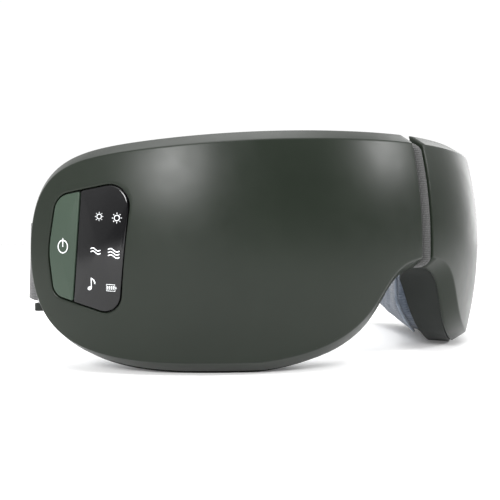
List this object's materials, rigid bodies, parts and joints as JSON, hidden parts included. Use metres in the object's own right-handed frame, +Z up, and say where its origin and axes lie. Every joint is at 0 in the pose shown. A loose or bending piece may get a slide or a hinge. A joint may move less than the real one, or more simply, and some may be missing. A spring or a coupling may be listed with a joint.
{
  "type": "eye massager mask",
  "caption": "Foldable eye massage mask: two curved shells hinged at the nose bridge, touch panel, padded face cushions and an elastic head strap.",
  "frame": {"origin": "on the floor, midway across the width and midway between the front of the face and the rear of the strap", "axes": "+X along the width, with the control panel on the -X half; +Y from the front toward the wearer; +Z up"},
  "size_m": [0.2106, 0.1402, 0.0778],
  "materials": {
    "shell": "satin dark green-black",
    "lens": "high gloss",
    "key": "satin",
    "seal": "matt",
    "light_guide": "milky",
    "board": "solder mask",
    "switch": "moulded",
    "frame": "fine texture",
    "pad": "soft woven cover over foam",
    "bladder": "thin film",
    "heating_film": "polyimide film",
    "hinge_plastic": "moulded",
    "steel": "plain",
    "knit": "stretch knit",
    "battery": "foil pouch",
    "speaker": "plain",
    "weight": "plain",
    "pump": "moulded",
    "valve": "moulded",
    "strap": "woven elastic"
  },
  "bodies": {
    "left_half": {"left_front_shell": "shell", "left_inner_frame": "frame", "display_lens": "lens", "panel_seal": "seal", "light_guide": "light_guide", "display_board": "board", "tact_switch": "switch", "main_board": "board", "battery_cell": "battery", "charge_socket": "steel", "left_speaker": "speaker", "left_vibration_motor": "steel", "left_air_bladder": "bladder", "left_heating_film": "heating_film", "left_face_pad": "pad", "left_screws": "steel", "left_hinge_leaf": "hinge_plastic", "hinge_pin": "steel", "bridge_strip": "knit", "left_strap_lug": "frame", "left_strap_pin": "steel"},
    "right_half": {"right_front_shell": "shell", "right_inner_frame": "frame", "right_speaker": "speaker", "right_vibration_motor": "steel", "right_air_bladder": "bladder", "right_heating_film": "heating_film", "right_face_pad": "pad", "right_screws": "steel", "right_hinge_leaf": "hinge_plastic", "air_pump_body": "pump", "release_valve": "valve", "right_strap_lug": "frame", "right_strap_pin": "steel"},
    "power_key": {"power_key": "key"},
    "left_motor_weight": {"left_motor_weight": "weight"},
    "right_motor_weight": {"right_motor_weight": "weight"},
    "pump_rotor": {"pump_rotor": "pump"},
    "left_strap": {"left_strap_band": "strap"},
    "right_strap": {"right_strap_band": "strap"}
  },
  "joints": [
    {"name": "fold", "type": "hinge", "parent": "left_half", "child": "right_half", "pos_m": [0, -0.0626, 0], "axis": [0, 0, 1], "range_deg": [0, 70]},
    {"name": "left_strap_swing", "type": "hinge", "parent": "left_half", "child": "left_strap", "pos_m": [-0.095, 0.0199, 0.0345], "axis": [0, 0, 1], "range_deg": [0, 81.6]},
    {"name": "strap_rear_bend", "type": "hinge", "parent": "left_strap", "child": "right_strap", "pos_m": [0, 0.0689, 0.0345], "axis": [0, 0, 1], "range_deg": [-92.8, 0]},
    {"name": "power_key_press", "type": "slide", "parent": "left_half", "child": "power_key", "axis": [0.8746, 0.4848, 0], "range_m": [0, 0.0006], "stiffness_N_per_m": 2000, "springref_m": -0.0001},
    {"name": "left_motor_spin", "type": "hinge", "parent": "left_half", "child": "left_motor_weight", "pos_m": [-0.02295, -0.05538, 0.051], "axis": [0, 0, 1], "continuous": true},
    {"name": "right_motor_spin", "type": "hinge", "parent": "right_half", "child": "right_motor_weight", "pos_m": [0.02295, -0.05538, 0.051], "axis": [0, 0, 1], "continuous": true},
    {"name": "pump_spin", "type": "hinge", "parent": "right_half", "child": "pump_rotor", "pos_m": [0.04486, -0.04867, 0.037], "axis": [0, 0, 1], "continuous": true}
  ],
  "couplings": [
    {"joint": "left_strap_swing", "follows": "fold", "ratio": 1.159},
    {"joint": "strap_rear_bend", "follows": "fold", "ratio": -1.318}
  ]
}
